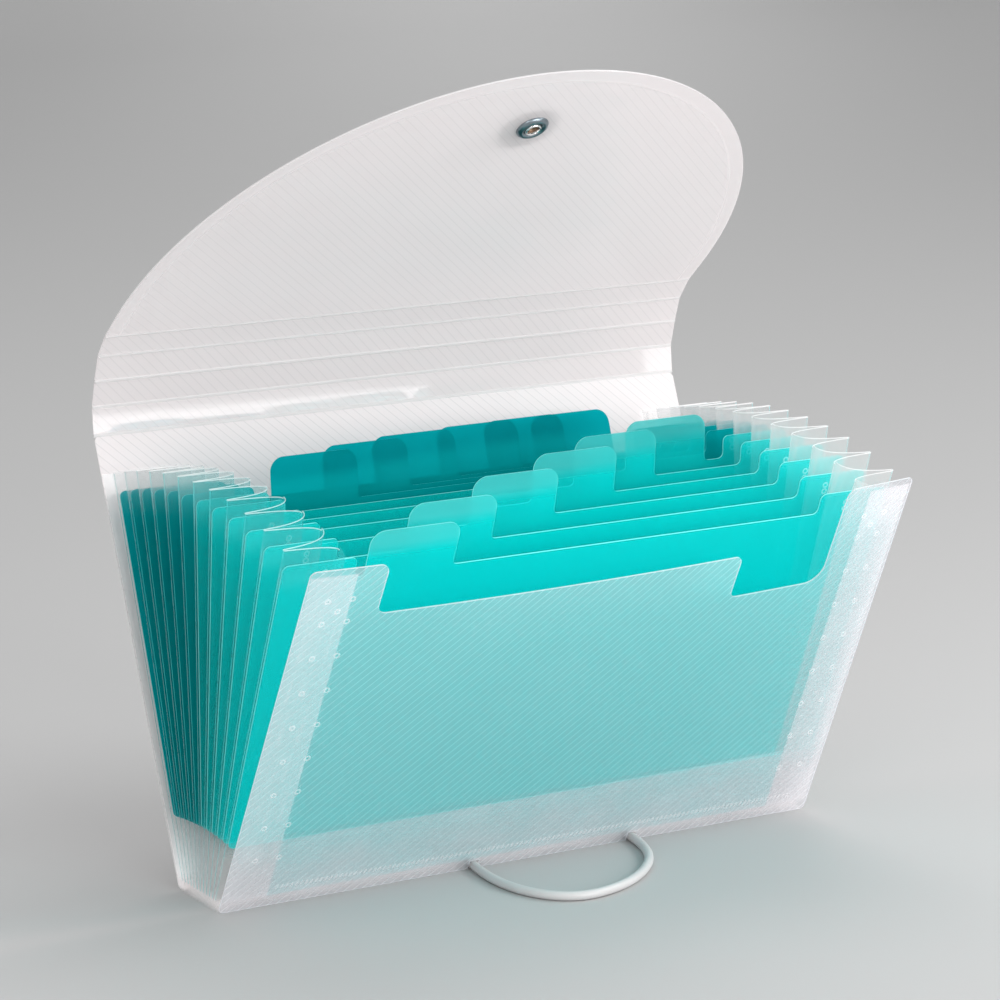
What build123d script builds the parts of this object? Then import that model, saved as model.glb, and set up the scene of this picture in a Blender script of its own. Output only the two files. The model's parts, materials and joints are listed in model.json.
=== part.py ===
from build123d import *
import math
import os

os.makedirs("parts", exist_ok=True)

# Driving dimensions, in millimetres and degrees.
# X runs along the pockets, Y to the back and Z up; the base stands on Z = 0.
width = 330.0  # across the covers and the outer folds of the gusset
pockets = 13
pocket_pitch = 3.08  # depth of one pocket at the base
back_lean_angle = 22.5  # back cover, from upright
fan_lean_angle = 26.9  # where the dividers' fan would end, from upright
front_lean_angle = 24.8  # front cover at its right edge, which stays behind the fan's end
fan_growth = 0.19  # each pocket opens this much wider than the one behind it

# Sheets
cover_thickness = 0.8
divider_thickness = 0.5
film_thickness = 0.25
film_gap = 0.1  # between the film and the sheet inside its fold
sheet_corner = 3.0  # outer corner radius of the covers

# Base gusset, the pleated strip that the sheets fold on
base_height = 6.0
base_inset = 1.0  # from the covers' sides and faces
base_flat = 0.6  # width of each lower fold where it stands on the floor
base_seat = 0.3  # between the strip and the sheets above it
cover_hinge_height = 0.5
cover_foot = 0.1  # from the cover's hinge line up to its lower edge

# Back cover and flap
back_height = 221.0  # to the lowest score line
flap_bands = 4
band_height = 13.7
crease_gap = 0.6  # thinned score line between two panels
crease_angles = (17.5, 20.0, 4.0, 19.0, 11.0)  # fold at each score line, lowest first
flap_length = 199.0  # from the highest score line to the tip
flap_straight = 15.0  # straight part of the flap's sides

# Front cover, heights from its hinge line
front_height = 206.0
front_bow = 5.5  # how far the front cover bulges forward in the middle of its top
front_twist = 10.8  # how far its upper left corner stands forward of the right one
front_edge_height = 177.0
notch_height = 152.0
corner_tab_width = 39.0
notch_width = 54.0
front_tab_corner = 5.0
notch_corner = 10.0
notch_lip_corner = 4.0

# Dividers, heights from their hinge line
divider_inset = 1.5  # from the gusset's outer fold to the divider's edge
divider_foot = 30.0
divider_edge_height = 176.0
divider_corner_height = 187.0
divider_corner = 3.0
tab_height = 199.5
tab_width = 46.0
tab_margin = 8.5  # from a corner tab to the nearest index tab
tab_drifts = (-5, -2, 1.5, -4.5, -1.5, 0.5, -2.5, -4, 0.5, -5, -11, -3.4)  # off the even places, sheet 1 first
tab_corner = 7.0
tab_root_corner = 2.0
tab_columns = 6

# Side and bottom pleats of the gusset
pleat_depth = 25.0  # from the outer fold to the inner fold
pleat_height = 196.0  # from a divider's hinge line to the film's upper edge
pleat_gap = 0.25  # between two neighbouring pleats at the inner fold

# Closure
rivet_inset = 44.0  # from the flap's tip
button_diameter = 30.0
button_thickness = 2.5
button_edge = 1.0
neck_diameter = 14.0
neck_height = 5.0
post_diameter = 7.0
post_clearance = 0.2
post_end = 0.4  # how far the post's end stays below the eyelet's crown
eyelet_diameter = 16.0
eyelet_bore = 8.4
eyelet_height = 2.2

# Elastic loop: route on the floor from knot to knot, chosen by hand
elastic_diameter = 4.5
elastic_lift = 0.1
elastic_route = ((-27, -15), (-36, -52), (-16, -92), (26, -83), (60, -46), (62, -15))
bend_share = 0.45
knot_diameter = 6.0
knot_clearance = 0.1
elastic_clearance = 0.5  # around the elastic where it passes the cover and the base
cut_overrun = 1.0

# Worked out from the values above
depth = pockets * pocket_pitch
half_width = width / 2
sheet_reach = half_width + cut_overrun
elastic_height = elastic_diameter / 2 + elastic_lift


def lean(sheet):
    """Forward lean of a sheet: 0 is the back cover, the last one the front cover."""
    if sheet == pockets:
        return front_lean_angle
    mean_step = (back_lean_angle + fan_lean_angle) / pockets
    middle = (pockets + 1) / 2
    return -back_lean_angle + sheet * mean_step + fan_growth * sheet * ((sheet + 1) / 2 - middle)


def is_cover(sheet):
    return sheet in (0, pockets)


def hinge(sheet):
    """Point of the sheet's hinge line in the middle of the file."""
    height = cover_hinge_height if is_cover(sheet) else base_height
    return Vector(0, depth / 2 - sheet * pocket_pitch, height)


def up(angle):
    return Vector(0, -math.sin(math.radians(angle)), math.cos(math.radians(angle)))


def rear(angle):
    return Vector(0, math.cos(math.radians(angle)), math.sin(math.radians(angle)))


def face_plane(origin, angle):
    """Plane of a leaning sheet: local Y runs up the sheet, local Z out of its front face."""
    return Plane(origin=origin, x_dir=(1, 0, 0), z_dir=-rear(angle))


def cross_plane(origin, angle):
    """Plane square across a leaning sheet: local Y runs to the back."""
    return Plane(origin=origin, x_dir=(1, 0, 0), z_dir=up(angle))


def end_plane(origin, angle):
    """Plane across the X axis: local X runs to the back, local Y up the sheet."""
    return Plane(origin=origin, x_dir=rear(angle), z_dir=(1, 0, 0))


def half_gap(sheet, neighbour, height):
    """Half of the clear distance from a sheet, at a height up it, to the next sheet's plane."""
    point = hinge(sheet) + up(lean(sheet)) * height
    return abs((point - hinge(neighbour)).dot(rear(lean(neighbour)))) / 2


def front_bend(across, height):
    """How far the front cover stands forward of its plane: nothing along its right edge."""
    height_share = (height + cut_overrun) / (front_height + 2 * cut_overrun)
    side_share = across / sheet_reach
    return height_share * (front_twist * (1 - side_share) / 2 + front_bow * (1 - side_share**2))


def add_piece(piece, name):
    piece.part.label = name
    export_step(piece.part, f"parts/{name}.step")


# Base gusset: one zigzag of film, its lower folds on the floor
half_base = half_width - base_inset
base_top = base_height - base_seat
fold_count = 2 * pockets
fold_step = (depth - 2 * base_inset - cover_thickness) / fold_count
wall_slope = math.atan2(base_top, fold_step)
film_rise = min(film_thickness / math.cos(wall_slope), base_top / 2)
upper_line = []
lower_line = []
for fold in range(fold_count + 1):
    fold_y = (fold_count / 2 - fold) * fold_step
    if fold % 2:
        upper_line.append((fold_y, film_rise))
        lower_line.append((fold_y + base_flat / 2, 0))
        lower_line.append((fold_y - base_flat / 2, 0))
    else:
        upper_line.append((fold_y, base_top))
        lower_line.append((fold_y, base_top - film_rise))

# Where the elastic passes the front cover and where its knots lie
elastic_points = [Vector(x, y, elastic_height) for x, y in elastic_route]
elastic_ends = ((elastic_points[0], elastic_points[1]), (elastic_points[-1], elastic_points[-2]))
knot_centres = []
passages = []
for end, nearby in elastic_ends:
    inward = (end - nearby).normalized()
    knot_centres.append(end + inward * (knot_diameter / 2 + knot_clearance))
    reach = (-depth / 2 - end.Y) / inward.Y
    passages.append((end + inward * reach).X)
passage_width = elastic_diameter + 2 * elastic_clearance
passage_height = elastic_lift + elastic_diameter + elastic_clearance

with BuildPart() as base_gusset:
    with BuildSketch(Plane.YZ.offset(-half_base)):
        with BuildLine():
            Polyline(*upper_line, *reversed(lower_line), close=True)
        make_face()
    extrude(amount=2 * half_base)
    for centre, passage in zip(knot_centres, passages):
        window_back = centre.Y + knot_diameter / 2 + elastic_clearance
        window_front = -depth / 2 - cut_overrun
        window_width = abs(centre.X - passage) + knot_diameter + 2 * elastic_clearance
        window_centre = ((centre.X + passage) / 2, (window_back + window_front) / 2, base_height / 2)
        with Locations(window_centre):
            Box(window_width, window_back - window_front, base_height + cut_overrun, mode=Mode.SUBTRACT)
add_piece(base_gusset, "base_gusset")

# Elastic loop and its knots
turns = []
for before, corner, after in zip(elastic_points, elastic_points[1:], elastic_points[2:]):
    turn = math.radians((corner - before).get_angle(after - corner))
    run = min((corner - before).length, (after - corner).length)
    turns.append(bend_share * run / math.tan(turn / 2))
print("elastic bend radii:", [round(radius, 1) for radius in turns])

with BuildPart() as elastic_loop:
    with BuildLine():
        elastic_path = FilletPolyline(*elastic_points, radius=turns)
    with BuildSketch(Plane(origin=elastic_path @ 0, z_dir=elastic_path % 0)):
        Circle(elastic_diameter / 2)
    sweep()
tube_volume = math.pi * elastic_diameter**2 / 4 * elastic_path.length
print("elastic length:", round(elastic_path.length, 1))
print("elastic volume over section times length:", round(elastic_loop.part.volume / tube_volume, 4))
add_piece(elastic_loop, "elastic_loop")

with BuildPart() as elastic_knots:
    with Locations(*knot_centres):
        Sphere(knot_diameter / 2)
    split(bisect_by=Plane.XY.offset(elastic_lift), keep=Keep.TOP)
add_piece(elastic_knots, "elastic_knots")

# Back cover, up to the lowest score line
back_plane = face_plane(hinge(0), lean(0))
back_top = back_height - crease_gap / 2
with BuildPart() as back_cover:
    with BuildSketch(back_plane) as back_outline:
        with BuildLine():
            Polyline(
                (-half_width, cover_foot),
                (half_width, cover_foot),
                (half_width, back_top),
                (-half_width, back_top),
                close=True,
            )
        make_face()
        fillet(back_outline.vertices().group_by(Axis.Z)[0], sheet_corner)
    extrude(amount=cover_thickness / 2, both=True)
add_piece(back_cover, "back_cover")

# Flap bands, each folded forward from the one below
crease = hinge(0) + up(lean(0)) * back_height
flap_lean = lean(0)
for band in range(flap_bands):
    flap_lean += crease_angles[band]
    print("score line", band + 1, "at", crease, "then leaning", round(flap_lean, 2))
    with BuildPart() as flap_band:
        with BuildSketch(face_plane(crease, flap_lean)):
            with Locations((0, band_height / 2)):
                Rectangle(width, band_height - crease_gap)
        extrude(amount=cover_thickness / 2, both=True)
    add_piece(flap_band, f"flap_band_{band + 1}")
    crease = crease + up(flap_lean) * band_height
flap_lean += crease_angles[flap_bands]
print("score line", flap_bands + 1, "at", crease, "then leaning", round(flap_lean, 2))

# Flap panel: straight sides, then half an ellipse, with the hole for the button's post
flap_plane = face_plane(crease, flap_lean)
flap_foot = crease_gap / 2
rivet_height = flap_length - rivet_inset
with BuildPart() as flap_panel:
    with BuildSketch(flap_plane):
        with BuildLine():
            Polyline(
                (-half_width, flap_straight),
                (-half_width, flap_foot),
                (half_width, flap_foot),
                (half_width, flap_straight),
            )
            EllipticalCenterArc((0, flap_straight), half_width, flap_length - flap_straight, arc_size=180)
        make_face()
        with Locations((0, rivet_height)):
            Circle(post_diameter / 2 + post_clearance, mode=Mode.SUBTRACT)
    extrude(amount=cover_thickness / 2, both=True)
add_piece(flap_panel, "flap_panel")

# Closure: button on the outer face, eyelet on the inner face, both turned about the post
rivet_centre = flap_plane.from_local_coords(Vector(0, rivet_height, 0))
rivet_axis = Axis(rivet_centre, flap_plane.z_dir)
turning_plane = Plane(origin=rivet_centre, x_dir=(1, 0, 0), z_dir=-flap_plane.y_dir)
inner_face = cover_thickness / 2
neck_back = -inner_face - neck_height
button_back = neck_back - button_thickness
post_front = inner_face + eyelet_height - post_end

with BuildPart() as closure_button:
    with BuildSketch(turning_plane):
        with BuildLine():
            Polyline(
                (0, post_front),
                (post_diameter / 2, post_front),
                (post_diameter / 2, -inner_face),
                (neck_diameter / 2, -inner_face),
                (neck_diameter / 2, neck_back),
                (button_diameter / 2, neck_back),
                (button_diameter / 2, button_back + button_edge),
                (button_diameter / 2 - button_edge, button_back),
                (0, button_back),
                close=True,
            )
        make_face()
    revolve(axis=rivet_axis)
add_piece(closure_button, "closure_button")

eyelet_half = (eyelet_diameter - eyelet_bore) / 4
with BuildPart() as closure_eyelet:
    with BuildSketch(turning_plane):
        with BuildLine():
            Line((eyelet_bore / 2, inner_face), (eyelet_diameter / 2, inner_face))
            ThreePointArc(
                (eyelet_diameter / 2, inner_face),
                (eyelet_bore / 2 + eyelet_half, inner_face + eyelet_height),
                (eyelet_bore / 2, inner_face),
            )
        make_face()
    revolve(axis=rivet_axis)
add_piece(closure_eyelet, "closure_eyelet")

# Front cover: two corner tabs, a lower middle edge, a thumb notch, and a slot for each elastic end
front_plane = face_plane(hinge(pockets), lean(pockets))
tab_inner = half_width - corner_tab_width
notch_left = tab_inner - notch_width
sheet_foot = front_plane.from_local_coords(Vector(0, -cut_overrun, 0))
sheet_top = front_plane.from_local_coords(Vector(0, front_height + cut_overrun, 0))
with BuildPart() as front_cover:
    with BuildSketch(cross_plane(sheet_foot, lean(pockets))):
        Rectangle(2 * sheet_reach, cover_thickness)
    with BuildSketch(cross_plane(sheet_top, lean(pockets))):
        with BuildLine():
            ThreePointArc(
                (-sheet_reach, -front_twist),
                (0, -front_twist / 2 - front_bow),
                (sheet_reach, 0),
            )
        trace(line_width=cover_thickness)
    loft(ruled=True)
    with BuildSketch(front_plane.offset(-cover_thickness)):
        with BuildLine():
            FilletPolyline(
                (-half_width, cover_foot),
                (half_width, cover_foot),
                (half_width, front_height),
                (tab_inner, front_height),
                (tab_inner, notch_height),
                (notch_left, notch_height),
                (notch_left, front_edge_height),
                (-tab_inner, front_edge_height),
                (-tab_inner, front_height),
                (-half_width, front_height),
                radius=(
                    sheet_corner,
                    sheet_corner,
                    sheet_corner,
                    front_tab_corner,
                    notch_corner,
                    notch_lip_corner,
                    notch_lip_corner,
                    front_tab_corner,
                    front_tab_corner,
                    sheet_corner,
                ),
                close=True,
            )
        make_face()
        for passage in passages:
            with Locations((passage, cover_foot)):
                Rectangle(passage_width, 2 * passage_height, mode=Mode.SUBTRACT)
    extrude(amount=front_twist + front_bow + 2 * cover_thickness, mode=Mode.INTERSECT)
add_piece(front_cover, "front_cover")

# Dividers: number 1 is next to the back cover, and the index tabs step to the left going forward
half_divider = half_width - divider_inset
first_tab = -tab_inner + tab_margin
tab_pitch = (2 * (tab_inner - tab_margin) - tab_width) / (tab_columns - 1)
for sheet in range(1, pockets):
    column = (tab_columns - sheet) % tab_columns
    tab_left = first_tab + column * tab_pitch + tab_drifts[sheet - 1]
    tab_right = tab_left + tab_width
    with BuildPart() as divider:
        with BuildSketch(face_plane(hinge(sheet), lean(sheet))):
            with BuildLine():
                FilletPolyline(
                    (-half_divider, divider_foot),
                    (half_divider, divider_foot),
                    (half_divider, divider_corner_height),
                    (tab_inner, divider_corner_height),
                    (tab_inner, divider_edge_height),
                    (tab_right, divider_edge_height),
                    (tab_right, tab_height),
                    (tab_left, tab_height),
                    (tab_left, divider_edge_height),
                    (-tab_inner, divider_edge_height),
                    (-tab_inner, divider_corner_height),
                    (-half_divider, divider_corner_height),
                    radius=(
                        divider_corner,
                        divider_corner,
                        divider_corner,
                        divider_corner,
                        divider_corner,
                        tab_root_corner,
                        tab_corner,
                        tab_corner,
                        tab_root_corner,
                        divider_corner,
                        divider_corner,
                        divider_corner,
                    ),
                    close=True,
                )
            make_face()
        extrude(amount=divider_thickness / 2, both=True)
    add_piece(divider, f"divider_{sheet:02d}")


def pleat_section(sheet, height, outer, inner, outer_bend, inner_bend):
    """Outline of a fold round a sheet at a height up it, from its outer to its inner line.

    The first value of each point runs from the outer fold inward, the second to the back.
    The bends are how far the front cover stands forward of its plane at those two lines.
    """
    inward = math.copysign(film_thickness, inner - outer)
    half_film = film_thickness / 2
    sheet_half = (cover_thickness if is_cover(sheet) else divider_thickness) / 2
    near = sheet_half + film_gap
    far = near + film_thickness
    points_rear = []
    points_front = []
    if sheet > 0:
        valley = half_gap(sheet, sheet - 1, height) - pleat_gap - half_film
        points_rear = [(inner, valley - half_film), (inner, valley + half_film)]
    if sheet < pockets:
        valley = half_gap(sheet, sheet + 1, height) - pleat_gap - half_film
        points_front = [(inner, -valley - half_film), (inner, -valley + half_film)]
    if sheet == 0:
        weld = [(inner, -near), (outer, -near), (outer, -far - film_thickness)]
        return [*weld, *points_front, (outer + inward, -far), (inner, -far)]
    if sheet == pockets:
        weld = [(inner, near - inner_bend), (outer, near - outer_bend)]
        turn = [(outer, far + film_thickness - outer_bend), *reversed(points_rear)]
        return [*weld, *turn, (outer + inward, far - outer_bend), (inner, far - inner_bend)]
    fold_out = [(outer, far), (outer, -far)]
    fold_in = [(outer + inward, -near), (outer + inward, near)]
    return [points_rear[1], *fold_out, *points_front, *fold_in, points_rear[0]]


# Gusset pleats: a fold of film round both sides and the lower edge of every sheet
inner_fold = half_width - pleat_depth
half_bottom = inner_fold - pleat_gap
for sheet in range(pockets + 1):
    rise = base_height - cover_hinge_height if is_cover(sheet) else 0
    foot = rise + base_seat
    top = rise + pleat_height
    fold_top = foot + pleat_depth
    bend = front_bend if sheet == pockets else lambda across, height: 0
    with BuildPart() as pleat:
        for side in (-1, 1):
            outer, inner = side * half_width, side * inner_fold
            for height in (foot, top):
                origin = hinge(sheet) + up(lean(sheet)) * height
                with BuildSketch(cross_plane(origin, lean(sheet))):
                    with BuildLine():
                        bends = bend(outer, height), bend(inner, height)
                        Polyline(*pleat_section(sheet, height, outer, inner, *bends), close=True)
                    make_face()
            loft(ruled=True)
        for across in (-half_bottom, half_bottom):
            with BuildSketch(end_plane(hinge(sheet) + Vector(across, 0, 0), lean(sheet))):
                with BuildLine():
                    bends = bend(across, foot), bend(across, fold_top)
                    section = pleat_section(sheet, fold_top, foot, fold_top, *bends)
                    Polyline(*[(behind, along) for along, behind in section], close=True)
                make_face()
        loft(ruled=True)
    add_piece(pleat, f"gusset_pleat_{sheet:02d}")
    print("sheet", sheet, "leans", round(lean(sheet), 3), "hinge", hinge(sheet))
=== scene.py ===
import json
import math

import bmesh
import bpy
from mathutils import Matrix, Vector


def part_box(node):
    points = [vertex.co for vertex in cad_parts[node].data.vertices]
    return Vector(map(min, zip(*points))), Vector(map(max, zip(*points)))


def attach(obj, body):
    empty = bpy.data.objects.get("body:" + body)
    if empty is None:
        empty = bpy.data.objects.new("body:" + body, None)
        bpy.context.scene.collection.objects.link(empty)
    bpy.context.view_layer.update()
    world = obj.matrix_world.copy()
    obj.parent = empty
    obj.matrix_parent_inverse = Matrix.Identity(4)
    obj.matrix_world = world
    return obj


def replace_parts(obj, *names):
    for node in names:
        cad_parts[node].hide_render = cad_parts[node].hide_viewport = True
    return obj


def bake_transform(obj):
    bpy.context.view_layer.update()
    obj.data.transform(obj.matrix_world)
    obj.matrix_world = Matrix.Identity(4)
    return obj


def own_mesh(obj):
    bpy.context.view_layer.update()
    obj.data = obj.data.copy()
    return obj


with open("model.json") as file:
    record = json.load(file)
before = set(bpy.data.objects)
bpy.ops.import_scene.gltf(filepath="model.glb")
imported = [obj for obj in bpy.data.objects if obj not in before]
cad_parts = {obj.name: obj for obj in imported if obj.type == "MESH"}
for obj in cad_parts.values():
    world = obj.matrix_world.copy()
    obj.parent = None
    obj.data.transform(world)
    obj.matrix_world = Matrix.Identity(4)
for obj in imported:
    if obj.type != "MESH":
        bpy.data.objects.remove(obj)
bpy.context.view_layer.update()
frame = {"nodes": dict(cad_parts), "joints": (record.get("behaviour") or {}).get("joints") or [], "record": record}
nodes = frame["nodes"]
joints = {joint["name"]: joint for joint in frame["joints"]}
ratios = {pair["joint"]: pair["ratio"] for pair in frame["record"]["behaviour"]["couplings"]}

mm = 0.001
acrossFile = Vector((1, 0, 0))


# The fan: sheet 0 is the back cover, the last one the front cover, the rest are dividers

fan = {
    "lastSheet": 13,
    "master": "front_fold",
    "halfWidth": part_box("back_cover")[1].x,
    "coverThickness": 0.8 * mm,
    "dividerThickness": 0.5 * mm,
    "frontBow": 5.5 * mm,
    "frontTwist": 10.8 * mm,
    "frontHeight": 206 * mm,
    "overrun": 1 * mm,
    "cutFacing": (0.3, 0.8),  # how far a cut edge and a face look along the sheet's axis
}
lastSheet = fan["lastSheet"]
openLean = -joints[fan["master"]]["range_deg"][0]


def foldName(sheet):
    return {0: "back_fold", lastSheet: fan["master"]}.get(sheet, f"divider_{sheet:02d}_fold")


def bodyOf(sheet):
    return joints[foldName(sheet)]["child"]


def leanOf(sheet):
    return math.radians(openLean * ratios.get(foldName(sheet), 1))


def hingeOf(sheet):
    return Vector(joints[foldName(sheet)]["pos_m"])


def upward(lean):
    return Vector((0, -math.sin(lean), math.cos(lean)))


def backward(lean):
    return Vector((0, math.cos(lean), math.sin(lean)))


def onSheet(sheet, across, height, behind=0.0):
    lean = leanOf(sheet)
    return hingeOf(sheet) + acrossFile * across + upward(lean) * height + backward(lean) * behind


def frontBulge(across, height):
    # how far the front cover stands forward of its plane; takes numbers or wires
    heightShare = (height + fan["overrun"]) / (fan["frontHeight"] + 2 * fan["overrun"])
    sideShare = across / (fan["halfWidth"] + fan["overrun"])
    return heightShare * (fan["frontTwist"] * (1 - sideShare) / 2 + fan["frontBow"] * (1 - sideShare**2))


def bulgeOf(sheet, across, height):
    return frontBulge(across, height) if sheet == lastSheet else 0.0


def onFace(sheet, across, height, side, rise=0.0):
    # a point on a sheet's front (side -1) or rear (side 1) face, or standing off it
    cover = sheet in (0, lastSheet)
    thickness = fan["coverThickness"] if cover else fan["dividerThickness"]
    return onSheet(sheet, across, height, side * (thickness / 2 + rise) - bulgeOf(sheet, across, height))


def gapTo(sheet, neighbour, height):
    # clear distance from a point up one sheet to the plane of the next
    away = onSheet(sheet, 0, height) - hingeOf(neighbour)
    return abs(away.dot(backward(leanOf(neighbour))))


# The flap: five score lines, each with the lean of the panel above it

flapBodies = ["back", "flap_band_1", "flap_band_2", "flap_band_3", "flap_band_4", "flap"]
creases = [joints[f"flap_crease_{number}"] for number in range(1, len(flapBodies))]
creasePoints = [Vector(crease["pos_m"]) for crease in creases]


def leanBetween(low, high):
    return math.atan2(low.y - high.y, high.z - low.z)


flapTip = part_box("flap_panel")
panelLeans = [leanOf(0)]
panelLeans += [leanBetween(low, high) for low, high in zip(creasePoints, creasePoints[1:])]
panelLeans.append(leanBetween(creasePoints[-1], Vector((0, flapTip[0].y, flapTip[1].z))))
print("panel leans:", [round(math.degrees(lean), 1) for lean in panelLeans])


# Shader maths

class Wire:
    # one output of a node, so that sums on it read as sums
    def __init__(self, finish, socket):
        self.finish = finish
        self.socket = socket

    def __add__(self, other):
        return self.finish.maths("ADD", self, other)

    def __radd__(self, other):
        return self.finish.maths("ADD", other, self)

    def __sub__(self, other):
        return self.finish.maths("SUBTRACT", self, other)

    def __rsub__(self, other):
        return self.finish.maths("SUBTRACT", other, self)

    def __mul__(self, other):
        return self.finish.maths("MULTIPLY", self, other)

    def __rmul__(self, other):
        return self.finish.maths("MULTIPLY", other, self)

    def __truediv__(self, other):
        return self.finish.maths("DIVIDE", self, other)

    def __pow__(self, other):
        return self.finish.maths("POWER", self, other)

    def __abs__(self):
        return self.finish.maths("ABSOLUTE", self)


class Finish:
    # one material, built node by node
    def __init__(self, name):
        self.material = bpy.data.materials.new(name)
        self.material.use_nodes = True
        self.tree = self.material.node_tree
        self.tree.nodes.clear()

    def add(self, kind, settings=None, sockets=None, out=0):
        node = self.tree.nodes.new(kind)
        for key, value in (settings or {}).items():
            setattr(node, key, value)
        for key, value in (sockets or {}).items():
            if isinstance(value, Wire):
                self.tree.links.new(value.socket, node.inputs[key])
            else:
                node.inputs[key].default_value = value
        return Wire(self, node.outputs[out]) if len(node.outputs) else node

    def maths(self, operation, *values):
        return self.add("ShaderNodeMath", {"operation": operation}, dict(enumerate(values)))

    def smooth(self, value, low, high):
        settings = {"interpolation_type": "SMOOTHSTEP", "clamp": True}
        return self.add("ShaderNodeMapRange", settings, {"Value": value, "From Min": low, "From Max": high})

    def between(self, share, low, high):
        return low + (high - low) * share

    def tint(self, share, first, second):
        return self.add("ShaderNodeMix", {"data_type": "RGBA"}, {0: share, 6: first, 7: second}, 2)

    def place(self):
        return self.add("ShaderNodeTexCoord", out="Object")

    def cutEdge(self, lean):
        # 1 on the cut edges of a sheet, 0 on its two faces
        sides = {0: self.add("ShaderNodeTexCoord", out="Normal"), 1: backward(lean)}
        facing = abs(self.add("ShaderNodeVectorMath", {"operation": "DOT_PRODUCT"}, sides, "Value"))
        return 1 - self.smooth(facing, *fan["cutFacing"])

    def onPanel(self, origin, lean):
        # across, up and behind the sheet, in metres from its hinge line
        spot = {0: self.place()}
        x, y, z = (self.add("ShaderNodeSeparateXYZ", sockets=spot, out=axis) for axis in "XYZ")
        up, back = upward(lean), backward(lean)
        return x, y * up.y + z * up.z - origin.dot(up), y * back.y + z * back.z - origin.dot(back)

    def grain(self, scale, detail=2.0):
        sockets = {"Vector": self.place(), "Scale": scale, "Detail": detail}
        return self.add("ShaderNodeTexNoise", sockets=sockets)

    def bump(self, height, strength, distance):
        sockets = {"Height": height, "Strength": strength, "Distance": distance}
        return self.add("ShaderNodeBump", sockets=sockets)

    def close(self, shader):
        self.add("ShaderNodeOutputMaterial", sockets={"Surface": shader})
        return self.material

    def glowing(self, colour):
        return self.add("ShaderNodeBsdfTranslucent", sockets={"Color": colour})

    def sheer(self, skin, opacity, through, glow=None, glowShare=0.0, tealBounce=None):
        # a sheet that lets some light straight through, in its own tint, and some through its body
        surface = self.add("ShaderNodeBsdfPrincipled", sockets=skin)
        if glow is not None:
            lit = self.glowing(glow)
            # an extra glow colour, for the teal bounce light painted on the film
            if tealBounce is not None:
                share, colour = tealBounce
                lit = self.add("ShaderNodeMixShader", sockets={0: share, 1: lit, 2: self.glowing(colour)})
            surface = self.add("ShaderNodeMixShader", sockets={0: glowShare, 1: surface, 2: lit})
        clear = self.add("ShaderNodeBsdfTransparent", sockets={"Color": through})
        return self.close(self.add("ShaderNodeMixShader", sockets={0: opacity, 1: clear, 2: surface}))


def dress(piece, material):
    piece.data.materials.clear()
    piece.data.materials.append(material)


# Mesh building

sharpAngle = 40
roundAngle = 60  # keeps beads, thin lines and ribs smooth


def gridMesh(bm, rows, keep=None):
    made = [[bm.verts.new(point) for point in row] for row in rows]
    for below, above in zip(made, made[1:]):
        for corners in zip(below, below[1:], above[1:], above):
            middle = sum((corner.co for corner in corners), Vector()) / 4
            if keep is None or keep(middle):
                bm.faces.new(corners)


def loftRings(bm, rings, closed=False):
    made = [[bm.verts.new(point) for point in ring] for ring in rings]
    if closed:
        made.append(made[0])
    else:
        bm.faces.new(made[0])
        bm.faces.new(made[-1])
    for first, second in zip(made, made[1:]):
        for place, corner in enumerate(first):
            after = (place + 1) % len(first)
            bm.faces.new((corner, first[after], second[after], second[place]))


def lathe(bm, centre, axis, profile, closed, steps=64):
    other = axis.cross(acrossFile)
    rings = []
    for radius, rise in profile:
        turns = [2 * math.pi * step / steps for step in range(steps)]
        spokes = [acrossFile * math.cos(turn) + other * math.sin(turn) for turn in turns]
        rings.append([centre + axis * rise * mm + spoke * radius * mm for spoke in spokes])
    loftRings(bm, rings, closed)


def addPiece(name, bm, body, material, slot, smoothAngle=sharpAngle):
    mesh = bpy.data.meshes.new(name)
    bmesh.ops.recalc_face_normals(bm, faces=bm.faces)
    bm.to_mesh(mesh)
    bm.free()
    mesh.shade_smooth()
    mesh.set_sharp_from_angle(angle=math.radians(smoothAngle))
    mesh.materials.append(material)
    piece = bpy.data.objects.new(name, mesh)
    bpy.context.scene.collection.objects.link(piece)
    if body is not None:
        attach(piece, body)
    piece.visible_shadow = slot != "film"  # clear film throws next to no shadow
    return piece


# Embossed polypropylene of the covers and the flap

embossed = {
    # painted highlight: the cut edges are drawn whiter and near opaque, for the light they catch
    "paintedEdgeGlow": (1.0, 1.0, 1.0, 1),
    "through": (1.0, 0.995, 0.995, 1),
    "coatRoughness": 0.03,
    "edgeSolid": 0.85,
    "lineEdges": (0.03, 0.1),
    "emboss": 0.12 * mm,
    "gloss": 0.5,
    "roughness": (0.25, 0.35),
    "cloudScale": 18.0,
    "cloudSolid": 0.04,
}
flapLook = {
    "period": 3.9 * mm,
    "slope": 1.0,  # the lines fall to the right
    "milk": (0.98, 0.93, 0.935, 1),
    "lineMilk": (0.81, 0.785, 0.79, 1),
    "solid": 0.62,
    "lineSolid": 0.62,
    "rearSolid": 0.62,
    "glowShare": 0.5,
    "coat": 1.0,
    "relief": 0.2,
}
backLook = dict(flapLook, solid=0.72, lineSolid=0.72, rearSolid=0.72, glowShare=0.15)
frontLook = {
    "period": 3.6 * mm,
    "slope": -1.0,  # the lines rise to the right
    "milk": (0.93, 0.93, 1.0, 1),
    "lineMilk": (0.98, 0.98, 1.0, 1),
    "solid": 0.31,
    "lineSolid": 0.54,
    "rearSolid": 0.1,
    "glowShare": 0.5,
    "coat": 0.0,
    "relief": 0.1,
}


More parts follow.
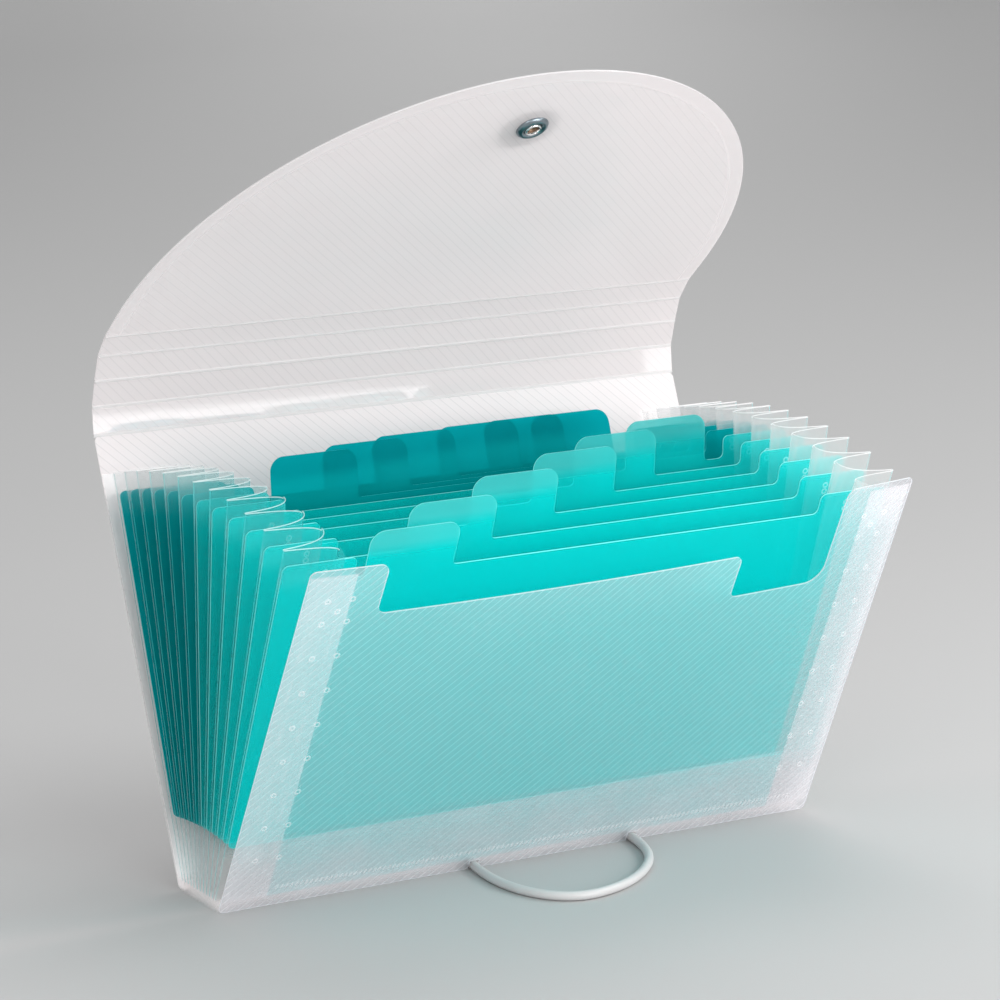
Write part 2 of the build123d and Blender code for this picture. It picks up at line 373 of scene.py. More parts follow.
def coverFinish(name, origin, lean, look, bulge=None, border=None):
    finish = Finish(name)
    across, height, behind = finish.onPanel(origin, lean)
    if bulge is not None:
        behind = behind + bulge(across, height)
    skinDepth = fan["coverThickness"] / 4
    front = 1 - finish.smooth(behind, -skinDepth, skinDepth)
    saw = finish.maths("FRACT", (height + across * look["slope"]) / (look["period"] * math.sqrt(2)))
    line = front * (1 - finish.smooth(abs(saw - 0.5), *embossed["lineEdges"]))
    rim = 0.0
    if border is not None:
        inside, rim = border(finish, across, height)
        line = line * inside
    cut = finish.cutEdge(lean)
    cloud = finish.grain(embossed["cloudScale"])
    base = finish.tint(line, look["milk"], look["lineMilk"])
    # painted highlight: whiter cut edges
    base = finish.tint(cut, base, embossed["paintedEdgeGlow"])
    opacity = finish.between(front, look["rearSolid"], look["solid"])
    opacity = opacity + line * (look["lineSolid"] - look["solid"])
    opacity = opacity + (cloud - 0.5) * embossed["cloudSolid"] + rim
    skin = {
        "Base Color": base,
        "Roughness": finish.between(cloud, *embossed["roughness"]),
        "Specular IOR Level": embossed["gloss"],
        "Coat Weight": look["coat"],
        "Coat Roughness": embossed["coatRoughness"],
        "Normal": finish.bump(line, look["relief"], embossed["emboss"]),
    }
    # painted highlight: the cut edges are made near opaque so that they show bright
    opacity = finish.maths("MAXIMUM", opacity, cut * embossed["edgeSolid"])
    return finish.sheer(skin, opacity, embossed["through"], look["milk"], look["glowShare"])


flapRim = {
    "straight": 15 * mm,
    "tip": 199 * mm,
    "linesEnd": (0.952, 0.958),  # shares of the way from the panel's middle to its edge
    "line": 0.956,
    "lineEdges": (0.001, 0.004),
    "solid": 0.2,
}


def flapBorder(finish, across, height):
    # the embossing stops at a thin raised line short of the rounded edge
    straight = flapRim["straight"]
    reach = finish.maths("MAXIMUM", (height - straight) / (flapRim["tip"] - straight), 0.0)
    share = finish.maths("SQRT", (across / fan["halfWidth"]) ** 2.0 + reach ** 2.0)
    inside = 1 - finish.smooth(share, *flapRim["linesEnd"])
    line = 1 - finish.smooth(abs(share - flapRim["line"]), *flapRim["lineEdges"])
    return inside, line * flapRim["solid"]


dress(nodes["back_cover"], coverFinish("backCover", hingeOf(0), leanOf(0), backLook))
for number in range(1, len(creasePoints)):
    name = f"flap_band_{number}"
    dress(nodes[name], coverFinish(name, creasePoints[number - 1], panelLeans[number], flapLook))
flapFinish = coverFinish("flapPanel", creasePoints[-1], panelLeans[-1], flapLook, border=flapBorder)
dress(nodes["flap_panel"], flapFinish)
frontFinish = coverFinish("frontCover", hingeOf(lastSheet), leanOf(lastSheet), frontLook, bulge=frontBulge)
dress(nodes["front_cover"], frontFinish)
print("covers dressed")


# Milky plastic of the thin pieces

milky = {
    "cloudScale": 40.0,
    "cloudSolid": 0.06,
    "roughness": (0.22, 0.34),
    "gloss": 0.6,
    "glowShare": 0.35,
}


def milkFinish(name, tint, opacity, pale=(1, 1, 1, 1)):
    finish = Finish(name)
    cloud = finish.grain(milky["cloudScale"])
    skin = {
        "Base Color": finish.tint(cloud, tint, pale),
        "Roughness": finish.between(cloud, *milky["roughness"]),
        "Specular IOR Level": milky["gloss"],
    }
    solid = opacity + (cloud - 0.5) * milky["cloudSolid"]
    return finish.sheer(skin, solid, embossed["through"], tint, milky["glowShare"])


# Score lines: a bead of the same sheet in each gap between two panels

bead = {
    "half": 0.9 * mm,
    "inner": 0.3 * mm,
    "outer": 0.1 * mm,
    "gap": 0.3 * mm,
    "steps": 6,
    "milk": (0.99, 0.98, 0.98, 1),
    "opacity": 0.45,
}


def addBead(number, material):
    low, high = panelLeans[number - 1], panelLeans[number]
    middle = creasePoints[number - 1]

    def bent(along, behind):
        lean = low if along < 0 else high if along > 0 else (low + high) / 2
        return middle + upward(lean) * along + backward(lean) * behind

    shares = [2 * step / bead["steps"] - 1 for step in range(bead["steps"] + 1)]
    skin = fan["coverThickness"] / 2
    crown = [(share * bead["half"], 1 - share * share) for share in shares]
    loop = [bent(along, -skin - bead["inner"] * full) for along, full in crown]
    loop += [bent(along, skin + bead["outer"] * full) for along, full in reversed(crown)]
    bm = bmesh.new()
    loftRings(bm, [[point + acrossFile * side * fan["halfWidth"] for point in loop] for side in (-1, 1)])
    piece = addPiece(f"crease_bead_{number}", bm, None, material, "cover_sheet", roundAngle)
    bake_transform(piece)


beadMilk = milkFinish("beadMilk", bead["milk"], bead["opacity"])
for number in range(1, len(flapBodies)):
    addBead(number, beadMilk)
print("score lines beaded")


# Coloured dividers

divider = {
    "front": {
        "body": (0.0, 0.82, 0.79, 1),
        # painted highlight: the paler colour of the cut edges
        "edge": (0.35, 0.97, 0.95, 1),
        "through": (0.6, 0.96, 0.965, 1),
        "glow": (0.55, 1.0, 0.99, 1),
        "opacity": 0.32,
        "topOpacity": 0.46,
    },
    "rear": {
        "body": (0.0, 0.48, 0.475, 1),
        # painted highlight: the paler colour of the cut edges
        "edge": (0.05, 0.66, 0.67, 1),
        "through": (0.04, 0.72, 0.78, 1),
        "glow": (0.0, 0.59, 0.58, 1),
        "opacity": 0.4,
        "topOpacity": 0.34,
    },
    "firstOfFront": 7,
    # painted shade: the inner sheets of the front group get darker colours
    "innerShades": {7: 0.8, 8: 0.87, 9: 0.94},  # the front group's inner sheets stand in the shade
    "glowShares": (0.06, 0.6),
    "glowFrom": (184 * mm, 193 * mm),
    "cutSolid": 0.9,
    "gloss": 0.03,
    "roughness": (0.28, 0.4),
    "cloudScale": 14.0,
    "grainScale": 900.0,
    "grainStrength": 0.05,
    "grainDepth": 0.1 * mm,
}


# painted shade: darkens a colour for the inner sheets of the front group
def shaded(colour, sheet):
    return tuple(share * divider["innerShades"].get(sheet, 1.0) for share in colour[:3]) + (1,)


def dividerFinish(sheet):
    tints = divider["front" if sheet >= divider["firstOfFront"] else "rear"]
    finish = Finish(f"divider{sheet:02d}")
    height = finish.onPanel(hingeOf(sheet), leanOf(sheet))[1]
    cut = finish.cutEdge(leanOf(sheet))
    cloud = finish.grain(divider["cloudScale"])
    grain = finish.grain(divider["grainScale"])
    # the tops of the index tabs stand alone in the light and glow
    tabTop = finish.smooth(height, *divider["glowFrom"])
    glowShare = finish.between(tabTop, *divider["glowShares"])
    solid = finish.between(tabTop, tints["opacity"], tints["topOpacity"])
    # painted highlight: the cut edges are made near opaque and, below, paler
    solid = finish.maths("MAXIMUM", solid, cut * divider["cutSolid"])
    skin = {
        "Base Color": finish.tint(cut, shaded(tints["body"], sheet), tints["edge"]),
        "Roughness": finish.between(cloud, *divider["roughness"]),
        "Specular IOR Level": divider["gloss"],
        "Normal": finish.bump(grain, divider["grainStrength"], divider["grainDepth"]),
    }
    return finish.sheer(skin, solid, tints["through"], shaded(tints["glow"], sheet), glowShare)


for sheet in range(1, lastSheet):
    dress(nodes[f"divider_{sheet:02d}"], dividerFinish(sheet))
print("dividers dressed")


# Clear film of the gusset

film = {
    "thickness": 0.2 * mm,
    "depth": 25 * mm,
    "height": 196 * mm,
    "dividerRise": 5.5 * mm,
    "seat": 0.3 * mm,
    "valleyShare": 0.34,
    "valleyGap": 0.15 * mm,
    "foldRadius": 0.5 * mm,
    "wallSteps": 10,
    "foldSteps": 6,
    "heightSteps": 8,
    "footStations": (-1, -0.5, 0, 0.5, 1),
    "wallShares": ((0, 0), (0.55, 0.12), (1, 0.3), (1, 1)),  # of the pleat's depth and of its spread
    "closedShare": 0.15,
    "milk": (0.8, 0.785, 0.785, 1),
    # painted light: the teal that the coloured sheets throw on the film's bare top
    "paintedTealTint": (0.1, 0.66, 0.66, 1),  # its bare top between the coloured sheets of the front half
    "paintedTealSheets": (3, 8),
    "through": (0.99, 0.995, 0.995, 1),
    "opacity": 0.012,
    "footOpacity": (0.0, 0.32),  # of the rear fold and of the front one
    "topOpacity": (0.22, 0.3),
    "litSideOpacity": (0.2, 0.36),
    "rimOpacity": 0.06,
    "rimBlend": 0.35,
    "rimPower": 5.0,
    "gloss": 0.5,
    "roughness": (0.14, 0.26),
    "cloudScale": 30.0,
    "cloudSolid": 0.02,
    "bareBelow": (24 * mm, 34 * mm),
    "bareAbove": (172 * mm, 190 * mm),
    # painted light: where the film turns milkier along the right side
    "litSideFrom": (90 * mm, 140 * mm),
    "glowShare": 0.8,
    "lineSides": 6,
    # painted highlights: the film's upper edges in pale milk, its outer folds in teal
    "hemRadius": 0.24 * mm,
    "hemHighlight": (0.98, 0.965, 0.965, 1),
    "hemOpacity": 0.4,
    "foldRim": 0.16 * mm,
    "foldRimSteps": 6,
    "foldTealHighlight": (0.15, 0.8, 0.82, 1),
    "palestFoldHighlight": (0.4, 0.9, 0.9, 1),
    "foldOpacity": 0.35,
}
offAxis = Vector((0.3, 0.5, 0.8))  # along none of the film's edges


def filmFinish(sheet):
    # milkier where no coloured sheet lies against it; painted light makes it milkier along the file's right side,
    # where the key lamp falls
    finish = Finish(f"clearFilm{sheet:02d}")
    rim = finish.add("ShaderNodeLayerWeight", sockets={"Blend": film["rimBlend"]}, out="Facing")
    cloud = finish.grain(film["cloudScale"])
    across, height = finish.onPanel(hingeOf(sheet), leanOf(sheet))[:2]

    def milkiness(key):
        return finish.between(sheet / lastSheet, *film[key])

    top = finish.smooth(height, *film["bareAbove"])
    foot = 1 - finish.smooth(height, *film["bareBelow"])
    bare = milkiness("topOpacity") * top + milkiness("footOpacity") * foot
    # painted light: the right side is made milkier, as lit by the key lamp
    litSide = finish.smooth(across, *film["litSideFrom"])
    # painted light: teal bounce from the coloured sheets on the film's bare top, less towards the right side
    first, last = film["paintedTealSheets"]
    tealBounce = top * (1 - litSide) * min(max((sheet - first) / (last - first), 0), 1)
    milk = finish.tint(cloud, film["milk"], (1, 1, 1, 1))
    skin = {
        "Base Color": finish.tint(tealBounce, milk, film["paintedTealTint"]),
        "Roughness": finish.between(cloud, *film["roughness"]),
        "Specular IOR Level": film["gloss"],
    }
    solid = film["opacity"] + finish.maths("MAXIMUM", bare, litSide * milkiness("litSideOpacity"))
    solid = solid + rim ** film["rimPower"] * film["rimOpacity"] + (cloud - 0.5) * film["cloudSolid"]
    paintedTealTint = (tealBounce, film["paintedTealTint"])
    return finish.sheer(skin, solid, film["through"], film["milk"], film["glowShare"], paintedTealTint)


def bezier(points, steps):
    made = []
    for step in range(steps + 1):
        t = step / steps
        weights = ((1 - t) ** 3, 3 * t * (1 - t) ** 2, 3 * t * t * (1 - t), t**3)
        made.append([sum(w * p[axis] for w, p in zip(weights, points)) for axis in (0, 1)])
    return made


def wall(near, far, side):
    # from the outer fold to the inner one: runs along the sheet first, then turns round the inner fold
    bends = [(deep * film["depth"], near + wide * (far - near)) for deep, wide in film["wallShares"]]
    return [(inward, side * behind) for inward, behind in bezier(bends, film["wallSteps"])]


def pleatLine(sheet, height, bulge=0.0):
    # one cut through a fold of film, from its inner fold behind the sheet to the one in front
    radius = film["foldRadius"]
    line = []
    if sheet > 0:
        far = gapTo(sheet, sheet - 1, height) * (1 - film["valleyShare"]) - film["valleyGap"]
        line += reversed(wall(radius - bulge, max(far, radius), 1))
    if 0 < sheet < lastSheet:
        for step in range(1, film["foldSteps"]):
            turn = math.pi * (0.5 - step / film["foldSteps"])
            line.append((-radius * math.cos(turn), radius * math.sin(turn)))
    if sheet < lastSheet:
        far = gapTo(sheet, sheet + 1, height) * film["valleyShare"] - film["valleyGap"]
        line += wall(radius, max(far, radius), -1)
    return line


def addFilm(sheet):
    rise = film["dividerRise"] if sheet in (0, lastSheet) else 0.0
    foot, top = rise + film["seat"], rise + film["height"]
    half = fan["halfWidth"] - film["foldRadius"]
    bm = bmesh.new()
    for side in (-1, 1):
        rows = []
        for step in range(film["heightSteps"] + 1):
            height = foot + (top - foot) * step / film["heightSteps"]
            cut = pleatLine(sheet, height, bulgeOf(sheet, side * half, height))
            rows.append([onSheet(sheet, side * (half - inward), height, behind) for inward, behind in cut])
        gridMesh(bm, rows)
    reach = half - film["depth"] - film["valleyGap"]
    rows = []
    for share in film["footStations"]:
        cut = pleatLine(sheet, foot + film["depth"], bulgeOf(sheet, share * reach, foot))
        rows.append([onSheet(sheet, share * reach, foot + max(inward, 0), behind) for inward, behind in cut])
    gridMesh(bm, rows)
    bmesh.ops.solidify(bm, geom=bm.faces[:], thickness=film["thickness"])
    piece = addPiece(f"film_fold_{sheet:02d}", bm, bodyOf(sheet), filmFinish(sheet), "film")
    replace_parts(piece, f"gusset_pleat_{sheet:02d}")
    backward(leanOf(sheet))
    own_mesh(piece)


def addTube(bm, points, radius):
    sides = film["lineSides"]
    turns = [2 * math.pi * side / sides for side in range(sides)]
    rings = []
    for place, point in enumerate(points):
        along = (points[min(place + 1, len(points) - 1)] - points[max(place - 1, 0)]).normalized()
        side = along.cross(offAxis).normalized()
        other = along.cross(side)
        rings.append([point + (side * math.cos(turn) + other * math.sin(turn)) * radius for turn in turns])
    loftRings(bm, rings)


def addFilmLines(name, sheet, lines, radius, material):
    bm = bmesh.new()
    for line in lines:
        addTube(bm, line, radius)
    piece = addPiece(name, bm, bodyOf(sheet), material, "film", roundAngle)
    backward(leanOf(sheet))
    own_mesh(piece)


def addHem(sheet, hemHighlight, foldTealHighlight):
    # painted highlights, drawn as thin tubes: the film catches the light along its upper edges and, less and in
    # teal, down its outer folds
    foot, top = film["seat"], film["height"]
    half = fan["halfWidth"] - film["foldRadius"]
    edges = []
    folds = []
    for side in (-1, 1):
        cut = pleatLine(sheet, top)
        edges.append([onSheet(sheet, side * (half - inward), top, behind) for inward, behind in cut])
        steps = film["foldRimSteps"]
        heights = [foot + (top - foot) * step / steps for step in range(steps + 1)]
        folds.append([onSheet(sheet, side * (half + film["foldRim"]), height) for height in heights])
    addFilmLines(f"film_hem_{sheet:02d}", sheet, edges, film["hemRadius"], hemHighlight)
    addFilmLines(f"film_crease_{sheet:02d}", sheet, folds, film["foldRim"], foldTealHighlight)


# painted highlights for the film's upper edges and outer folds
hemHighlight = milkFinish("hemHighlight", film["hemHighlight"], film["hemOpacity"])
foldTealHighlight = milkFinish("foldTealHighlight", film["foldTealHighlight"], film["foldOpacity"], film["palestFoldHighlight"])
for sheet in range(lastSheet + 1):
    addFilm(sheet)
for sheet in range(1, lastSheet):
    addHem(sheet, hemHighlight, foldTealHighlight)


# The film's end leaves, welded flat inside both covers

leaf = {
    "width": 24 * mm,
    "foot": 5.8 * mm,
    "height": 196 * mm,
    "footHeight": 36 * mm,
    "standOff": 0.3 * mm,
    "heightSteps": 8,
    "acrossSteps": 12,
    "leftMilk": (0.97, 1.0, 1.0, 1),
    "leftOpacity": 0.48,
    "rightMilk": (0.86, 0.84, 0.84, 1),
    "rightOpacity": 0.7,
    # painted light: the leaf's foot is tinted by the teal light that comes through the dividers
    "footTealGlow": (0.32, 0.96, 0.96, 1),
    "footOpacity": 0.5,
}


def addLeaf(name, sheet, side, span, material):
    left, right, top = span
    foot, count = leaf["foot"], leaf["acrossSteps"]
    places = [left + (right - left) * place / count for place in range(count + 1)]
    bm = bmesh.new()
    rows = []
    for step in range(leaf["heightSteps"] + 1):
        height = foot + (top - foot) * step / leaf["heightSteps"]
        rows.append([onFace(sheet, across, height, side, leaf["standOff"]) for across in places])
    gridMesh(bm, rows)
    bmesh.ops.solidify(bm, geom=bm.faces[:], thickness=film["thickness"])
    addPiece(name, bm, bodyOf(sheet), material, "film")


def addLeaves():
    half, top = fan["halfWidth"] - film["foldRadius"], leaf["foot"] + leaf["height"]
    inner = half - leaf["width"]
    footTop = leaf["foot"] + leaf["footHeight"]
    spans = {"left": (-half, -inner, top), "right": (inner, half, top), "foot": (-inner, inner, footTop)}
    milks = {
        "left": milkFinish("leafMilkLeft", leaf["leftMilk"], leaf["leftOpacity"]),
        "right": milkFinish("leafMilkRight", leaf["rightMilk"], leaf["rightOpacity"]),
        # painted light: teal glow on the leaves' foot
        "foot": milkFinish("leafFootTealGlow", leaf["footTealGlow"], leaf["footOpacity"]),
    }
    for name, sheet, side in (("front", lastSheet, 1), ("back", 0, -1)):
        for part, span in spans.items():
            addLeaf(f"{name}_leaf_{part}", sheet, side, span, milks[part])


addLeaves()
print("gusset film folded")


# Elastic loop: its route on the floor, which the base film leaves room for

elastic = {
    "route": ((-27, -15), (-36, -52), (-16, -92), (26, -83), (60, -46), (62, -15)),
    "diameter": 4.5 * mm,
    "lift": 0.1 * mm,
    "length": 0.1976,
    "white": (0.57, 0.56, 0.56, 1),
    "paleWhite": (0.64, 0.63, 0.63, 1),
    "roughness": (0.3, 0.45),
    "gloss": 0.5,
    "cloudScale": 60.0,
    "grainScale": 700.0,
    "grainStrength": 0.1,
    "grainDepth": 0.1 * mm,
    "ringSteps": 6,
    "alongSteps": 24,
    "knotScale": 0.62 * mm,
    "knotStrand": 1.1 * mm,
    "knotLift": 0.8 * mm,
    "knotPoints": 48,
}
elasticExits = (elastic["route"][0], elastic["route"][-1])


# Base film: a soft wave, one fold under each sheet

baseFilm = {
    "margin": 1 * mm,
    "pitch": 3.08 * mm,
    "foot": 0.4 * mm,
    "crest": 5.5 * mm,
    "stepsPerFold": 12,
    "windowHalf": 4 * mm,
    "windowEnd": -11 * mm,
    "opacity": 0.12,
}


def addBaseFilm():
    margin, pitch = baseFilm["margin"], baseFilm["pitch"]
    first, last = hingeOf(0).y - margin, hingeOf(lastSheet).y + margin
    count = round((first - last) / pitch * baseFilm["stepsPerFold"])
    middle = (baseFilm["crest"] + baseFilm["foot"]) / 2
    swing = (baseFilm["crest"] - baseFilm["foot"]) / 2
    cut = []
    for step in range(count + 1):
        y = first + (last - first) * step / count
        cut.append((y, middle + swing * math.cos(2 * math.pi * (y - hingeOf(1).y) / pitch)))
    exits = [x * mm for x, y in elasticExits]
    reach = fan["halfWidth"] - margin
    stations = [-reach, reach]
    stations += [exit + side * baseFilm["windowHalf"] for exit in exits for side in (-1, 1)]

    def clearOfElastic(point):
        beside = all(abs(point.x - exit) > baseFilm["windowHalf"] for exit in exits)
        return beside or point.y > baseFilm["windowEnd"]

    bm = bmesh.new()
    gridMesh(bm, [[Vector((x, y, z)) for y, z in cut] for x in sorted(stations)], clearOfElastic)
    bmesh.ops.delete(bm, geom=[vert for vert in bm.verts if not vert.link_faces], context="VERTS")
    bmesh.ops.solidify(bm, geom=bm.faces[:], thickness=film["thickness"])
    material = milkFinish("baseMilk", film["milk"], baseFilm["opacity"])
    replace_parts(addPiece("base_film", bm, "base", material, "film"), "base_gusset")


addBaseFilm()
print("base film laid")


# Elastic loop, lying on the floor, and its knots behind the front cover

def elasticFinish():
    finish = Finish("whiteElastic")
    cloud = finish.grain(elastic["cloudScale"])
    grain = finish.grain(elastic["grainScale"])
    skin = {
        "Base Color": finish.tint(cloud, elastic["white"], elastic["paleWhite"]),
        "Roughness": finish.between(cloud, *elastic["roughness"]),
        "Specular IOR Level": elastic["gloss"],
        "Normal": finish.bump(grain, elastic["grainStrength"], elastic["grainDepth"]),
    }
    return finish.close(finish.add("ShaderNodeBsdfPrincipled", sockets=skin))


def addCurve(name, material):
    # the strand's radius is on its points, so that the curve's box fits it
    curve = bpy.data.curves.new(name, "CURVE")
    curve.dimensions = "3D"
    curve.bevel_depth = 1.0
    curve.bevel_resolution = elastic["ringSteps"]
    curve.resolution_u = elastic["alongSteps"]
    curve.use_fill_caps = True
    curve.materials.append(material)
    piece = bpy.data.objects.new(name, curve)
    bpy.context.scene.collection.objects.link(piece)
    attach(piece, "base")
    return piece


elasticWhite = elasticFinish()
lie = elastic["diameter"] / 2 + elastic["lift"]
elasticCord = addCurve("elastic_cord", elasticWhite)
spline = elasticCord.data.splines.new("NURBS")
spline.points.add(len(elastic["route"]) - 1)
for point, (x, y) in zip(spline.points, elastic["route"]):
    point.co = (x * mm, y * mm, lie, 1)
    point.radius = elastic["diameter"] / 2
spline.order_u = 3
spline.use_endpoint_u = True
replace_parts(elasticCord, "elastic_loop")

elasticKnots = addCurve("elastic_knot_pair", elasticWhite)
for x, y in elasticExits:
    centre = Vector((x * mm, y * mm, lie + elastic["knotLift"]))
    strand = elasticKnots.data.splines.new("POLY")
    strand.points.add(elastic["knotPoints"] - 1)
    strand.use_cyclic_u = True
    for step, point in enumerate(strand.points):
        t = 2 * math.pi * step / len(strand.points)
        trefoil = math.sin(t) + 2 * math.sin(2 * t), -math.sin(3 * t), math.cos(t) - 2 * math.cos(2 * t)
        point.co = (*(centre + Vector(trefoil) * elastic["knotScale"]), 1)
        point.radius = elastic["knotStrand"]
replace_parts(elasticKnots, "elastic_knots")
print("elastic laid")


# Welds: small rings where the film meets the covers and dividers, ribbed seams along the bottom

weld = {
    "profile": ((0.75, -0.05), (0.95, 0.16), (1.25, 0.22), (1.55, 0.12), (1.7, -0.05)),
    "steps": 14,
    "outer": 153 * mm,
    "inner": 140.5 * mm,
    "middle": 146.7 * mm,
    "topRow": 188 * mm,
    "rowStep": 6.5 * mm,
    "pairTop": 155 * mm,
    "pairStep": 20.6 * mm,
    "pairs": 7,
    "dividerAcross": 141.5 * mm,
    "dividerRows": (177.5 * mm, 181 * mm),
    "opacity": 0.28,
}
seam = {
    "start": -137 * mm,
    "end": 152 * mm,
    "pitch": 2.6 * mm,
    "height": 11.5 * mm,
    "tilt": math.radians(24),
    "halfLength": 1.7 * mm,
    "halfWidth": 0.75 * mm,
    "steps": 10,
    "layers": ((1.0, -0.05), (0.9, 0.14), (0.6, 0.28), (0.2, 0.33)),
    "opacity": 0.2,
}


def coverWelds():
    top, step = weld["topRow"], weld["rowStep"]
    rows = [(weld["outer"], top), (weld["inner"], top), (weld["middle"], top - step)]
    rows += [(weld["outer"], top - 2 * step), (weld["inner"], top - 2 * step)]
    for row in range(weld["pairs"]):
        height = weld["pairTop"] - row * weld["pairStep"]
        rows += [(weld["outer"], height), (weld["inner"], height)]
    return [(side * across, height) for side in (-1, 1) for across, height in rows]


def addWelds(bm, sheet, side, places):
    for across, height in places:
        rings = []
        for step in range(weld["steps"]):
            turn = 2 * math.pi * step / weld["steps"]
            ring = []
            for radius, rise in weld["profile"]:
                x, h = across + radius * mm * math.cos(turn), height + radius * mm * math.sin(turn)
                ring.append(onFace(sheet, x, h, side, rise * mm))
            rings.append(ring)
        loftRings(bm, rings, closed=True)


def addSeam(bm, sheet, side):
    leanIn, leanUp = math.sin(seam["tilt"]), math.cos(seam["tilt"])
    for rib in range(round((seam["end"] - seam["start"]) / seam["pitch"]) + 1):
        centre = seam["start"] + rib * seam["pitch"]
        rings = []
        for share, rise in seam["layers"]:
            ring = []
            for step in range(seam["steps"]):
                turn = 2 * math.pi * step / seam["steps"]
                long = share * seam["halfLength"] * math.cos(turn)
                wide = share * seam["halfWidth"] * math.sin(turn)
                x = centre + long * leanIn + wide * leanUp
                h = seam["height"] + long * leanUp - wide * leanIn
                ring.append(onFace(sheet, x, h, side, rise * mm))
            rings.append(ring)
        loftRings(bm, rings)


weldMilk = milkFinish("weldMilk", bead["milk"], weld["opacity"])
seamMilk = milkFinish("seamMilk", bead["milk"], seam["opacity"])
for name, sheet, side in (("front", lastSheet, -1), ("back", 0, 1)):
    bm = bmesh.new()
    addWelds(bm, sheet, side, coverWelds())
    addPiece(f"{name}_welds", bm, bodyOf(sheet), weldMilk, "film", roundAngle)
    bm = bmesh.new()
    addSeam(bm, sheet, side)
    addPiece(f"{name}_seam", bm, bodyOf(sheet), seamMilk, "film", roundAngle)
spots = [(side * weld["dividerAcross"], height) for side in (-1, 1) for height in weld["dividerRows"]]
for sheet in range(1, lastSheet):
    bm = bmesh.new()
    addWelds(bm, sheet, -1, spots)
    addPiece(f"divider_{sheet:02d}_welds", bm, bodyOf(sheet), weldMilk, "film", roundAngle)
print("welds pressed")


# Closure: button outside, eyelet inside, hollow rivet through both

closure = {
    "height": 155 * mm,
    "eyelet": (
        (8.0, 0.0), (8.0, 0.4), (7.7, 1.0), (7.0, 1.6), (6.1, 1.95), (5.4, 1.9), (4.9, 1.6), (4.6, 1.2),
        (4.3, 1.0), (4.25, 0.0),
    ),
    "rim": (
        (4.1, 0.2), (4.12, 1.5), (3.9, 2.0), (3.5, 2.2), (3.1, 2.0), (2.9, 1.5), (2.85, 0.2),
    ),
    "floor": ((2.85, 0.3), (2.4, 0.5), (1.2, 0.55), (0.2, 0.5), (0.05, 0.5)),
    "button": (
        (0.05, 0.0), (6.9, 0.0), (7.0, 0.4), (6.5, 1.0), (6.4, 4.2), (7.0, 5.0), (14.0, 5.0), (14.8, 5.4),
        (15.0, 6.2), (14.7, 6.9), (13.6, 7.3), (7.0, 7.45), (0.05, 7.5),
    ),
    # plated steel with a painted reflection: darkened for the dark that its inward slope reflects
    "steelAndDarkReflection": ((0.2, 0.24, 0.27, 1), (0.3, 0.35, 0.38, 1), (0.24, 0.36)),
    "silver": ((0.75, 0.75, 0.74, 1), (0.85, 0.85, 0.84, 1), (0.15, 0.27)),
    "bronze": ((0.16, 0.08, 0.04, 1), (0.3, 0.16, 0.08, 1), (0.35, 0.47)),
    "cloudScale": 300.0,
    "buttonMilk": (0.5, 0.52, 0.53, 1),
    "buttonOpacity": 0.95,
}


def metalFinish(name, dark, pale, roughness):
    finish = Finish(name)
    cloud = finish.grain(closure["cloudScale"])
    skin = {
        "Base Color": finish.tint(cloud, dark, pale),
        "Metallic": 1.0,
        "Roughness": finish.between(cloud, *roughness),
    }
    return finish.close(finish.add("ShaderNodeBsdfPrincipled", sockets=skin))


def addTurned(name, profile, axis, closed, material, slot):
    # a turned piece that stands on one face of the flap
    centre = creasePoints[-1] + upward(panelLeans[-1]) * closure["height"]
    bm = bmesh.new()
    lathe(bm, centre + axis * (fan["coverThickness"] / 2), axis, closure[profile], closed)
    return addPiece(name, bm, "flap", material, slot)


def addClosure():
    outward = backward(panelLeans[-1])
    # painted reflection: the darkened steel of the eyelet ring
    steelAndDarkReflection = metalFinish("platedSteelAndDarkReflection", *closure["steelAndDarkReflection"])
    silver = metalFinish("rolledRim", *closure["silver"])
    bronze = metalFinish("bronzeFloor", *closure["bronze"])
    frosted = milkFinish("buttonMilk", closure["buttonMilk"], closure["buttonOpacity"])
    ring = addTurned("eyelet_ring", "eyelet", -outward, True, steelAndDarkReflection, "eyelet")
    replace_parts(ring, "closure_eyelet")
    addTurned("rivet_rim", "rim", -outward, True, silver, "eyelet")
    addTurned("rivet_floor", "floor", -outward, False, bronze, "eyelet")
    button = addTurned("button_disc", "button", outward, False, frosted, "button")
    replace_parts(button, "closure_button")


addClosure()
print("closure riveted")


# Stage, light and camera

view = {
    "azimuth": -30.72,
    "elevation": 12.51,
    "distance": 1.954,
    "sideways": -0.0007,
    "upwards": 0.1704,
    "lens": 144,
    "sensor": 36,
}
stage = {
    "floorGrey": (0.495, 0.495, 0.495, 1),
    # painted shade just behind the object, painted light far off
    "paintedShadeGrey": (0.43, 0.43, 0.43, 1),
    "paintedLightGrey": (0.77, 0.77, 0.77, 1),
    "roughness": 0.9,
    "paintedShadeSpan": (0.0, 0.9),
    "paintedLightSpan": (1.0, 4.2),
    "paintedLightSides": (0.0, 0.75),
    "sideLoss": 0.6,
    "near": -4.0,
    "bend": 3.4,
    "bendSteps": 12,
    "radius": 2.0,
    "top": 5.0,
    "half": 6.0,
}


